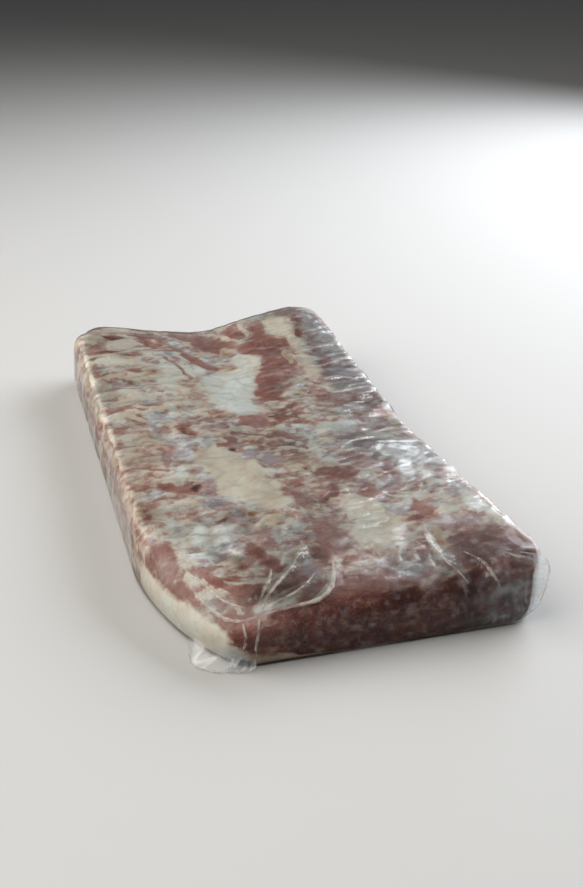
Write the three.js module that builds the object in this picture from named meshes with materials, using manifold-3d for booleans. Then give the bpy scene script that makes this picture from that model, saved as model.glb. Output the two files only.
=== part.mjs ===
// A whole pork belly slab, rib side up, sealed in a clear shrunk bag.
// Units are millimetres, +Z is up. The origin is at the middle of the footprint, on the surface that the slab lies on.
// +Y runs along the slab, from the thick cut face at the near end to the far end, and +X runs across it.
// The bag is drawn tight on the meat, so bag and meat are one solid: its skin is the outside of the film.
// What stands out of that skin is loose film: an ear at the near right corner, a web that fills out the rounded
// near left corner, and the pressed seal along the far end.
import * as THREE from "three";
import { mergeVertices } from "three/addons/utils/BufferGeometryUtils.js";
import Module from "manifold-3d";

// Driving dimensions
const LENGTH = 528;
const WIDTH = 251;
const THICKNESS = 46;
const FILM_LAYERS = 1.2; // loose film, with its folds and the air between them

// Each wall: how far its shoulder and its foot come in from its widest line, and the height of that line.
const WALLS = {
  near: { shoulder: 19, foot: 4, widest: 20 },
  right: { shoulder: 8, foot: 9, widest: 36 },
  far: { shoulder: 12, foot: 8, widest: 26 },
  left: { shoulder: 11, foot: 5, widest: 15 },
};
const WALL_ROUNDNESS = 0.8; // 1 is an ellipse, and less is boxier

// Each corner: how far its rounding reaches along both walls, its power (2 is an ellipse, less cuts straighter
// across), and how much further the rounding reaches at the shoulder.
const CORNERS = {
  nearRight: { alongX: 12, alongY: 14, power: 2, shoulderMore: -5 },
  farRight: { alongX: 26, alongY: 27, power: 2, shoulderMore: 5 },
  farLeft: { alongX: 24, alongY: 34, power: 2, shoulderMore: 2 },
  nearLeft: { alongX: 56, alongY: 128, power: 1.65, shoulderMore: 20 },
};

// Where the top lies above or below the slab's thickness: a smooth swell at a point, with its reach each way.
const SWELLS = [
  { x: 104, y: 262, rise: 13, reachX: 56, reachY: 125 },
  { x: 4, y: 264, rise: -8, reachX: 36, reachY: 100 },
  { x: -112, y: 262, rise: 10, reachX: 50, reachY: 80 },
  { x: -92, y: -250, rise: -9, reachX: 62, reachY: 95 },
  { x: 124, y: -240, rise: 9, reachX: 40, reachY: 120 },
  { x: 28, y: -264, rise: -6, reachX: 60, reachY: 42 },
  { x: 118, y: -30, rise: -1.5, reachX: 40, reachY: 60 },
  { x: -35, y: -80, rise: 2, reachX: 50, reachY: 70 },
  { x: 45, y: 120, rise: 2, reachX: 22, reachY: 120 },
];

// The beds of the ribs that were taken out cross the left half as low waves.
const RIB_PITCH = 41;
const RIB_RISE = 1;
const RIB_START = 226;

// The right wall draws in a little at its middle and flares towards its near end.
const BOWS = [
  { y: -20, out: -2, reach: 60 },
  { y: -225, out: 3.5, reach: 110 },
];

// The shoulder of the near right corner runs out to a point over its foot.
const TIP = { x: 125, y: -260, outX: 8, outY: -17, reachX: 26, reachY: 30 };

// How finely the solid is cut into faces
const STEPS_ALONG = 30;
const STEPS_ACROSS = 14;
const STEPS_IN_CORNER = 9;
const WALL_STEPS = 11;
const TOP_RINGS = 15;

const hill = (offset, reach) => Math.exp(-((offset / reach) ** 2));
const mix = (a, b, t) => a + (b - a) * t;
const smooth = (t) => {
  const c = THREE.MathUtils.clamp(t, 0, 1);
  return c * c * (3 - 2 * c);
};

// Height of the top over a point of the plan
function topHeight(x, y) {
  const swells = SWELLS.reduce(
    (sum, s) => sum + s.rise * hill(x - s.x, s.reachX) * hill(y - s.y, s.reachY),
    THICKNESS,
  );
  const nearLeftEdge = smooth((-20 - x) / 50) * smooth((y + 110) / 60);
  const ribs = RIB_RISE * Math.cos((2 * Math.PI * (y - RIB_START)) / RIB_PITCH);
  return swells + ribs * nearLeftEdge;
}

// The corners in the order of the outline, counter-clockwise from the near right one, with the wall that each ends
// and the wall that it starts.
const AROUND = [
  { corner: CORNERS.nearRight, side: [1, -1], from: WALLS.near, to: WALLS.right, steps: STEPS_ALONG },
  { corner: CORNERS.farRight, side: [1, 1], from: WALLS.right, to: WALLS.far, steps: STEPS_ACROSS },
  { corner: CORNERS.farLeft, side: [-1, 1], from: WALLS.far, to: WALLS.left, steps: STEPS_ALONG },
  { corner: CORNERS.nearLeft, side: [-1, -1], from: WALLS.left, to: WALLS.near, steps: STEPS_ACROSS },
];

// The share of its inset that a wall has come in at a turn: +1 is its shoulder, 0 its widest line and -1 its foot
const drawnIn = (turn) => 1 - Math.cos((Math.abs(turn) * Math.PI) / 2) ** WALL_ROUNDNESS;
const inset = (wall, turn) => (turn > 0 ? wall.shoulder : wall.foot) * drawnIn(turn);

// The plan outline of the skin at one turn of the walls, as points that each know their wall's widest height
function outline(turn) {
  const edgeX = (sign, wall) => sign * (WIDTH / 2 - inset(wall, turn));
  const edgeY = (sign, wall) => sign * (LENGTH / 2 - inset(wall, turn));
  const corners = AROUND.map(({ corner, side: [sx, sy], from, to, steps }) => {
    const wallX = from === WALLS.left || from === WALLS.right ? from : to;
    const wallY = wallX === from ? to : from;
    const grown = 1 + (corner.shoulderMore / corner.alongX) * Math.max(turn, 0);
    const rx = corner.alongX * grown;
    const ry = corner.alongY * mix(1, grown, 0.4);
    const centre = [edgeX(sx, wallX) - sx * rx, edgeY(sy, wallY) - sy * ry];
    return { centre, rx, ry, corner, sx, sy, from, to, steps };
  });
  const points = [];
  corners.forEach((c, i) => {
    const arc = [];
    for (let k = 0; k <= STEPS_IN_CORNER; k++) {
      const share = k / STEPS_IN_CORNER;
      const runsFromY = c.sx * c.sy < 0; // the arc starts on the near or far wall
      const angle = ((runsFromY ? 1 - share : share) * Math.PI) / 2;
      const across = Math.cos(angle) ** (2 / c.corner.power);
      const along = Math.sin(angle) ** (2 / c.corner.power);
      arc.push({
        x: c.centre[0] + c.sx * c.rx * across,
        y: c.centre[1] + c.sy * c.ry * along,
        widest: mix(c.from.widest, c.to.widest, share),
      });
    }
    points.push(...arc);
    const next = corners[(i + 1) % corners.length];
    const startsOnY = next.sx * next.sy < 0;
    const end = {
      x: next.centre[0] + (startsOnY ? 0 : next.sx * next.rx),
      y: next.centre[1] + (startsOnY ? next.sy * next.ry : 0),
    };
    const start = arc.at(-1);
    for (let k = 1; k < c.steps; k++) {
      const share = k / c.steps;
      points.push({ x: mix(start.x, end.x, share), y: mix(start.y, end.y, share), widest: c.to.widest });
    }
  });
  return points.map((p) => {
    const bow = BOWS.reduce((sum, b) => sum + b.out * hill(p.y - b.y, b.reach), 0) * smooth(p.x / (WIDTH / 2));
    const near = turn > 0 ? drawnIn(turn) * hill(p.x - TIP.x, TIP.reachX) * hill(p.y - TIP.y, TIP.reachY) : 0;
    return { ...p, x: p.x + bow + TIP.outX * near, y: p.y + TIP.outY * near };
  });
}

// One ring of the wall, from turn +1 at the shoulder to turn -1 at the foot
function wallRing(turn) {
  const reach = Math.sin((Math.abs(turn) * Math.PI) / 2) ** WALL_ROUNDNESS;
  return outline(turn).map(({ x, y, widest }) => {
    const z = turn > 0 ? mix(widest, topHeight(x, y), reach) : widest * (1 - reach);
    return [x, y, z];
  });
}

// The tight skin: rings from a point in the middle of the top out to the shoulder and down the wall, then a flat foot
function skinGeometry() {
  const shoulder = wallRing(1);
  const rings = [];
  for (let k = 1; k < TOP_RINGS; k++) {
    const share = k / TOP_RINGS;
    rings.push(shoulder.map(([x, y]) => [x * share, y * share, topHeight(x * share, y * share)]));
  }
  for (let k = 0; k <= WALL_STEPS; k++) rings.push(wallRing(1 - (2 * k) / WALL_STEPS));
  const around = shoulder.length;
  const positions = [0, 0, topHeight(0, 0), ...rings.flat(2), 0, 0, 0];
  const last = 1 + rings.length * around;
  const faces = [];
  for (let i = 0; i < around; i++) {
    const j = (i + 1) % around;
    faces.push(0, 1 + i, 1 + j);
    for (let r = 0; r + 1 < rings.length; r++) {
      const a = 1 + r * around + i;
      const b = 1 + r * around + j;
      faces.push(a, a + around, b + around, a, b + around, b);
    }
    faces.push(last, last - around + j, last - around + i);
  }
  const geometry = new THREE.BufferGeometry();
  geometry.setAttribute("position", new THREE.Float32BufferAttribute(positions, 3));
  geometry.setIndex(faces);
  return geometry;
}

// The near right ear: both layers of the bag stand off the corner as one upright leaf with a bowed edge
const EAR = { x: 113, y: -255.5, reach: 21, top: 52, foot: 1, heading: -0.51, fullest: 0.62 };

function earGeometry() {
  const leaf = new THREE.Shape();
  leaf.moveTo(0, EAR.foot);
  leaf.lineTo(EAR.reach * 0.32, EAR.foot);
  const height = EAR.top - EAR.foot;
  leaf.bezierCurveTo(
    EAR.reach * 0.8, EAR.foot + height * 0.2,
    EAR.reach * 1.08, EAR.foot + height * EAR.fullest,
    EAR.reach * 0.93, EAR.foot + height * 0.86,
  );
  leaf.quadraticCurveTo(EAR.reach * 0.85, EAR.top, EAR.reach * 0.6, EAR.top);
  leaf.lineTo(0, EAR.top);
  const geometry = new THREE.ExtrudeGeometry(leaf, { depth: FILM_LAYERS, bevelEnabled: false, curveSegments: 10 });
  geometry.translate(0, 0, -FILM_LAYERS / 2);
  geometry.rotateX(Math.PI / 2);
  geometry.rotateZ(EAR.heading);
  geometry.translate(EAR.x, EAR.y, 0);
  return geometry;
}

// The near left web: the bag's square corner, lying flat on the table round the meat's rounded one
const WEB = { sideX: -119, startY: -150, cornerY: -246, tipX: -92, tipY: -263, endX: -58, endY: -268, inX: -40 };

function webGeometry() {
  const web = new THREE.Shape();
  web.moveTo(WEB.sideX, WEB.startY);
  web.quadraticCurveTo(WEB.sideX, WEB.cornerY + 40, WEB.sideX + 5, WEB.cornerY);
  web.quadraticCurveTo(WEB.sideX + 9, WEB.tipY + 3, WEB.tipX, WEB.tipY);
  web.quadraticCurveTo((WEB.tipX + WEB.endX) / 2, WEB.endY, WEB.endX, WEB.endY);
  web.lineTo(WEB.inX, WEB.endY + 12);
  web.lineTo(WEB.inX, WEB.startY);
  return new THREE.ExtrudeGeometry(web, { depth: FILM_LAYERS, bevelEnabled: false, curveSegments: 8 });
}

// The far seal: the bag's pressed end, a flat strip along the foot of the far wall
const SEAL = { halfWidth: 104, reach: 12, within: 16, corner: 6 };

function sealGeometry() {
  const footY = LENGTH / 2 - WALLS.far.foot;
  const strip = new THREE.Shape();
  strip.moveTo(-SEAL.halfWidth, footY - SEAL.within);
  strip.lineTo(SEAL.halfWidth, footY - SEAL.within);
  strip.lineTo(SEAL.halfWidth, footY + SEAL.reach - SEAL.corner);
  strip.lineTo(SEAL.halfWidth - SEAL.corner, footY + SEAL.reach);
  strip.lineTo(SEAL.corner - SEAL.halfWidth, footY + SEAL.reach);
  strip.lineTo(-SEAL.halfWidth, footY + SEAL.reach - SEAL.corner);
  return new THREE.ExtrudeGeometry(strip, { depth: FILM_LAYERS, bevelEnabled: false });
}

const wasm = await Module();
wasm.setup();

function solidOf(geometry) {
  const bare = geometry.clone();
  bare.deleteAttribute("normal");
  bare.deleteAttribute("uv");
  const merged = mergeVertices(bare, 1e-4);
  return new wasm.Manifold(
    new wasm.Mesh({
      numProp: 3,
      vertProperties: merged.attributes.position.array,
      triVerts: new Uint32Array(merged.index.array),
    }),
  );
}

function geometryOf(solid) {
  const { vertProperties, triVerts } = solid.getMesh();
  const geometry = new THREE.BufferGeometry();
  geometry.setAttribute("position", new THREE.BufferAttribute(vertProperties, 3));
  geometry.setIndex(new THREE.BufferAttribute(triVerts, 1));
  geometry.computeVertexNormals();
  return geometry;
}

const pack = [earGeometry(), webGeometry(), sealGeometry()]
  .map(solidOf)
  .reduce((whole, loose) => whole.add(loose), solidOf(skinGeometry()));

const porkUnderFilm = new THREE.MeshStandardMaterial({ color: 0x9a6a5c, roughness: 0.22, metalness: 0 });
const packMesh = new THREE.Mesh(geometryOf(pack), porkUnderFilm);
packMesh.name = "packed_belly_slab";

const slab = new THREE.Group();
slab.add(packMesh);

export default slab;
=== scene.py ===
"""A whole pork belly slab, rib side up, in a clear shrunk bag: the meat, the film drawn tight on it, and the loose
film that stands off it. Shapes are worked out in millimetres in the slab's own frame (+X across it, +Y along it,
+Z up, the middle of its footprint at the origin) and go into the meshes in metres."""

from functools import partial
from math import cos, pi, radians, sin

import bpy
import numpy as np
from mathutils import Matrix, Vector


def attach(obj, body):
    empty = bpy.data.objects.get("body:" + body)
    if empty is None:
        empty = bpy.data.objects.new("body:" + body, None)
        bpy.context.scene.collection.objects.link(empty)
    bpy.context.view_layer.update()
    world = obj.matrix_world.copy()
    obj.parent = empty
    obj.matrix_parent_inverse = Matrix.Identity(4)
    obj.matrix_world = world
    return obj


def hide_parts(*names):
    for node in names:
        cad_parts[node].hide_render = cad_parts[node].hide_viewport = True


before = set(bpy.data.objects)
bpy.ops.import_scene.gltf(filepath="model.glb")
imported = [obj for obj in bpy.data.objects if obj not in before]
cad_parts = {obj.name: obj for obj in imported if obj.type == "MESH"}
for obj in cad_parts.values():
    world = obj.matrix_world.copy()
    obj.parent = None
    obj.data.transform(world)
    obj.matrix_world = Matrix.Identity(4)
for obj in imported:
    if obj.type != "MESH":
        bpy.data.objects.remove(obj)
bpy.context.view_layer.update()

MM = 0.001

# ---- the slab's sizes, as in its solid

LENGTH, WIDTH, THICKNESS = 528.0, 251.0, 46.0

# How far each wall's shoulder and foot come in from its widest line, and the height of that line
WALLS = {"near": (19, 4, 20), "right": (8, 9, 36), "far": (12, 8, 26), "left": (11, 5, 15)}
WALL_ROUNDNESS = 0.8

# Each corner: signs of x and y, reach along x and y, power, and how much more it reaches at the shoulder
CORNERS = {
    "near right": (1, -1, 12, 14, 2.0, -5),
    "far right": (1, 1, 26, 27, 2.0, 5),
    "far left": (-1, 1, 24, 34, 2.0, 2),
    "near left": (-1, -1, 56, 128, 1.65, 20),
}

# The four sides in turn, counter-clockwise, each from the middle of one corner's arc to the middle of the next
SIDES = (
    ("near left", pi / 4, pi / 2, "near right", pi / 2, pi / 4),
    ("near right", pi / 4, 0, "far right", 0, pi / 4),
    ("far right", pi / 4, pi / 2, "far left", pi / 2, pi / 4),
    ("far left", pi / 4, 0, "near left", 0, pi / 4),
)

# Swells of the top: x, y, rise, reach along x, reach along y
SWELLS = (
    (104, 262, 13, 56, 125),
    (4, 264, -8, 36, 100),
    (-112, 262, 10, 50, 80),
    (-92, -250, -9, 62, 95),
    (124, -240, 9, 40, 120),
    (28, -264, -6, 60, 42),
    (118, -30, -1.5, 40, 60),
    (-35, -80, 2, 50, 70),
    (45, 120, 2, 22, 120),
)
RIB_PITCH, RIB_RISE, RIB_START = 41.0, 1.0, 226.0

# Where the right wall draws in or flares: y, how far out, reach
BOWS = ((-20, -2.0, 60), (-225, 3.5, 110))

# The shoulder of the near right corner runs out to a point: its x and y, how far out each way, reach each way
TIP = (125, -260, 8, -17, 26, 30)

# The rings of the underside, as shares of the foot's outline
UNDERSIDE = (0.985, 0.94, 0.85, 0.65, 0.35)

# How many points go across and along the top, and how many rings down the wall
MEAT_GRID, FILM_GRID = (150, 312, 28), (152, 316, 30)

# ---- small curves and random hills


def smooth(t):
    """A soft step: 0 up to t = 0, 1 from t = 1, and three t squared less two t cubed between."""
    t = np.clip(t, 0.0, 1.0)
    return t * t * (3 - 2 * t)


def hill(offset, reach):
    """A bell: e to the minus of (offset over reach) squared."""
    return np.exp(-((offset / reach) ** 2))


def mix(a, b, t):
    """a where t is 0, b where t is 1, and a straight blend between."""
    return a + (b - a) * t


def unit(v):
    """Directions of length 1."""
    return v / np.maximum(np.linalg.norm(v, axis=-1, keepdims=True), 1e-9)


def turned(x, y, degrees):
    """x and y in axes turned by that many degrees."""
    c, s = cos(radians(degrees)), sin(radians(degrees))
    return c * x + s * y, c * y - s * x


def corner_value(i, j, k, seed):
    """A steady random number from -1 to 1 for each whole-numbered lattice corner: its three numbers times large
    odd ones, added, and the bits stirred twice."""
    h = (i * 374761393 + j * 668265263 + k * 1442695041 + seed * 1274126177) & 0xFFFFFFFF
    h = ((h ^ (h >> 13)) * 1274126177) & 0xFFFFFFFF
    h = ((h ^ (h >> 15)) * 2246822519) & 0xFFFFFFFF
    return ((h ^ (h >> 16)) & 0xFFFFF) / 524287.5 - 1.0


def hills(p, size, seed=0):
    """Random hills from about -1 to 1, size millimetres apart: each point blends the eight lattice corners round
    it by the soft step of its place between them. size may be one number or one for each axis."""
    q = p / np.asarray(size, float) + 0.37 * seed
    base = np.floor(q).astype(np.int64)
    i, j, k = np.moveaxis(base, -1, 0)
    u, v, w = np.moveaxis(smooth(q - base), -1, 0)
    a, b, c, d = (
        mix(*(corner_value(i + di, j + dj, k + dk, seed) for di in (0, 1)), u) for dk in (0, 1) for dj in (0, 1)
    )
    return 1.35 * mix(mix(a, b, v), mix(c, d, v), w)


def creases(p, size, seed=0):
    """Sharp crests from 0 to 1 along the lines where random hills pass through nought."""
    return np.clip(1 - 2.2 * np.abs(hills(p, size, seed)), 0, 1)


def curve_through(points, steps):
    """A smooth curve through points: each stretch is the cubic whose slopes are half the chords beside it."""
    p = np.asarray(points, float)
    ends = np.concatenate([[2 * p[0] - p[1]], p, [2 * p[-1] - p[-2]]])
    t = np.linspace(0, len(p) - 1, steps)
    i = np.minimum(t.astype(int), len(p) - 2)
    f = (t - i)[:, None]
    a, b, c, d = (ends[i + k] for k in range(4))
    return 0.5 * (2 * b + (c - a) * f + (2 * a - 5 * b + 4 * c - d) * f**2 + (3 * b - a - 3 * c + d) * f**3)


def flat(x, y):
    """Points of the plan as three-number points at height 0."""
    return np.stack([x, y, np.zeros_like(x)], -1)


# ---- the envelope of the slab


def rib_waves(y):
    """Cosine waves along the slab, one to a rib."""
    return np.cos(2 * pi * (y - RIB_START) / RIB_PITCH)


def top_height(x, y):
    """Height of the top: the thickness plus its swells, plus low waves across the left half where the ribs lay."""
    z = THICKNESS + sum(rise * hill(x - ax, rx) * hill(y - ay, ry) for ax, ay, rise, rx, ry in SWELLS)
    return z + RIB_RISE * rib_waves(y) * smooth((-20 - x) / 50) * smooth((y + 110) / 60)


def drawn_in(turn):
    """The share of its inset that a wall has come in: one less the cosine of its turn to the power of its
    roundness."""
    return 1 - cos(abs(turn) * pi / 2) ** WALL_ROUNDNESS


def inset(wall, turn):
    """How far a wall has come in: its depth at the shoulder or foot times that share."""
    shoulder, foot, _ = WALLS[wall]
    return (shoulder if turn > 0 else foot) * drawn_in(turn)


def corner_arc(name, turn, start, end, steps=28):
    """Points of a rounded corner from angle start to end: its centre plus its reaches times the cosine and sine to
    the power 2 over its own power. The third column is the height of the walls' widest line."""
    sx, sy, reach_x, reach_y, power, more = CORNERS[name]
    along, across = ("near" if sy < 0 else "far"), ("left" if sx < 0 else "right")
    grown = 1 + more / reach_x * max(turn, 0)
    rx, ry = reach_x * grown, reach_y * mix(1, grown, 0.4)
    a = np.linspace(start, end, steps)
    x = sx * (WIDTH / 2 - inset(across, turn) - rx + rx * np.clip(np.cos(a), 0, 1) ** (2 / power))
    y = sy * (LENGTH / 2 - inset(along, turn) - ry + ry * np.clip(np.sin(a), 0, 1) ** (2 / power))
    return np.stack([x, y, mix(WALLS[across][2], WALLS[along][2], a / (pi / 2))], -1)


def ring(turn, steps):
    """The plan outline at one turn of the walls, steps[i] points on side i: its two half corners joined by a
    straight line, at stations spaced evenly on the widest outline, plus the right wall's bows and, towards the
    shoulder, the pull of the tip."""
    parts = []
    for (a, a0, a1, b, b0, b1), n in zip(SIDES, steps):
        line, widest = (np.concatenate([corner_arc(a, t, a0, a1), corner_arc(b, t, b0, b1)]) for t in (turn, 0))
        far_along = np.r_[0, np.cumsum(np.hypot(*np.diff(widest[:, :2], axis=0).T))]
        place = np.interp(np.linspace(0, far_along[-1], n + 1)[:-1], far_along, np.arange(len(line)))
        parts.append(np.stack([np.interp(place, np.arange(len(line)), c) for c in line.T], -1))
    points = np.concatenate(parts)
    bow = sum(out * hill(points[:, 1] - at, reach) for at, out, reach in BOWS)
    at_x, at_y, out_x, out_y, reach_x, reach_y = TIP
    pull = drawn_in(turn) * (turn > 0) * hill(points[:, 0] - at_x, reach_x) * hill(points[:, 1] - at_y, reach_y)
    points[:, 0] += bow * smooth(points[:, 0] / (WIDTH / 2)) + out_x * pull
    points[:, 1] += out_y * pull
    return points


def wall_ring(turn, steps):
    """A ring of the wall in space: above the widest line its height goes to the top's by the sine of the turn to
    the power of the roundness, and below it to nought the same way."""
    x, y, widest = ring(turn, steps).T
    share = sin(abs(turn) * pi / 2) ** WALL_ROUNDNESS
    z = mix(widest, top_height(x, y), share) if turn > 0 else widest * (1 - share)
    return np.stack([x, y, z], -1)


def between_rings(index):
    """Four-sided faces that join each ring of point numbers, a row of index, to the next."""
    after = np.roll(index, -1, axis=1)
    return np.stack([index[:-1], index[1:], after[1:], after[:-1]], -1).reshape(-1, 4)


def slab_surface(across, along, wall_steps):
    """The closed envelope. Its top is a grid of two parameters, each point the blend of the four sides of the
    shoulder ring less the blend of its corners. Rings go down the wall from turn 1 to turn -1, shrink towards the
    middle of the underside and close on one point. Returns points, faces and each point's turn."""
    n, m = across - 1, along - 1
    steps = (n, m, n, m)
    loop = ring(1, steps)[:, :2]
    loop = np.concatenate([loop, loop[:1]])
    near, right = loop[: n + 1], loop[n : n + m + 1]
    far, left = loop[n + m : 2 * n + m + 1][::-1], loop[2 * n + m :][::-1]
    u, v = np.linspace(0, 1, across)[:, None, None], np.linspace(0, 1, along)[None, :, None]
    grid = mix(near[:, None], far[:, None], v) + mix(left[None], right[None], u)
    grid -= mix(mix(near[0], near[-1], u), mix(far[0], far[-1], u), v)
    top = np.dstack([grid, top_height(grid[..., 0], grid[..., 1])]).reshape(-1, 3)
    index = np.arange(across * along).reshape(across, along)
    quads = np.stack([index[:-1, :-1], index[1:, :-1], index[1:, 1:], index[:-1, 1:]], -1).reshape(-1, 4)
    edge = np.concatenate([index[:-1, 0], index[-1, :-1], index[:0:-1, -1], index[0, :0:-1]])
    turns = np.linspace(1, -1, wall_steps + 1)[1:]
    rings = [wall_ring(t, steps) for t in turns]
    rings += [rings[-1] * (share, share, 0) for share in UNDERSIDE]
    points = np.concatenate([top, *rings, [[0, 0, 0]]])
    turn = np.r_[np.ones(len(top)), np.repeat(turns, len(edge)), np.full(len(edge) * len(UNDERSIDE) + 1, -1.2)]
    index = np.vstack([edge, len(top) + np.arange(len(rings) * len(edge)).reshape(len(rings), -1)])
    fan = np.stack([index[-1], np.full(len(edge), len(points) - 1), np.roll(index[-1], -1)], -1)
    return points, [np.concatenate([quads, between_rings(index)]), fan], turn


def normals_of(points, faces):
    """Each point's outward direction: the sum of the cross products of the diagonals of the faces round it. A
    triangle's second diagonal is its last side."""
    total = np.zeros_like(points)
    for f in faces:
        cross = np.cross(points[f[:, 2]] - points[f[:, 0]], points[f[:, -1]] - points[f[:, 1]])
        for column in f.T:
            np.add.at(total, column, cross)
    return unit(total)


def new_piece(name, points, faces, material, slot, **values):
    """A closed smooth mesh from points in millimetres and lists of equal-sided faces, with one float attribute for
    each named array. It rides on the root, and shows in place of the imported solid."""
    mesh = bpy.data.meshes.new(name)
    mesh.vertices.add(len(points))
    mesh.vertices.foreach_set("co", (points * MM).astype(np.float32).ravel())
    sides = np.concatenate([np.full(len(f), f.shape[1]) for f in faces])
    corners = np.concatenate([f.ravel() for f in faces])
    mesh.loops.add(len(corners))
    mesh.loops.foreach_set("vertex_index", corners.astype(np.int32))
    mesh.polygons.add(len(sides))
    mesh.polygons.foreach_set("loop_start", np.r_[0, np.cumsum(sides)[:-1]].astype(np.int32))
    mesh.polygons.foreach_set("use_smooth", np.ones(len(sides), bool))
    mesh.update(calc_edges=True)
    for key, array in values.items():
        mesh.attributes.new(key, "FLOAT", "POINT").data.foreach_set("value", array.astype(np.float32))
    mesh.materials.append(material)
    piece = bpy.data.objects.new(name, mesh)
    bpy.context.scene.collection.objects.link(piece)
    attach(piece, "root")
    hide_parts("packed_belly_slab")


# ---- lean and fat

# Clean patches, mottled ones in which one of the two prevails, evenly mixed beige and cream, and coarse mottling
FAT, LEAN = 1.25, -1.25
PALE, DARK = 0.34, -0.46
BEIGE, CREAM, MIXED = 0.10, 0.62, 0.25
UNREST = {FAT: 0.4, LEAN: 0.5, PALE: 1.0, DARK: 1.0, BEIGE: 0.55, CREAM: 0.8, MIXED: 1.25}

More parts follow.
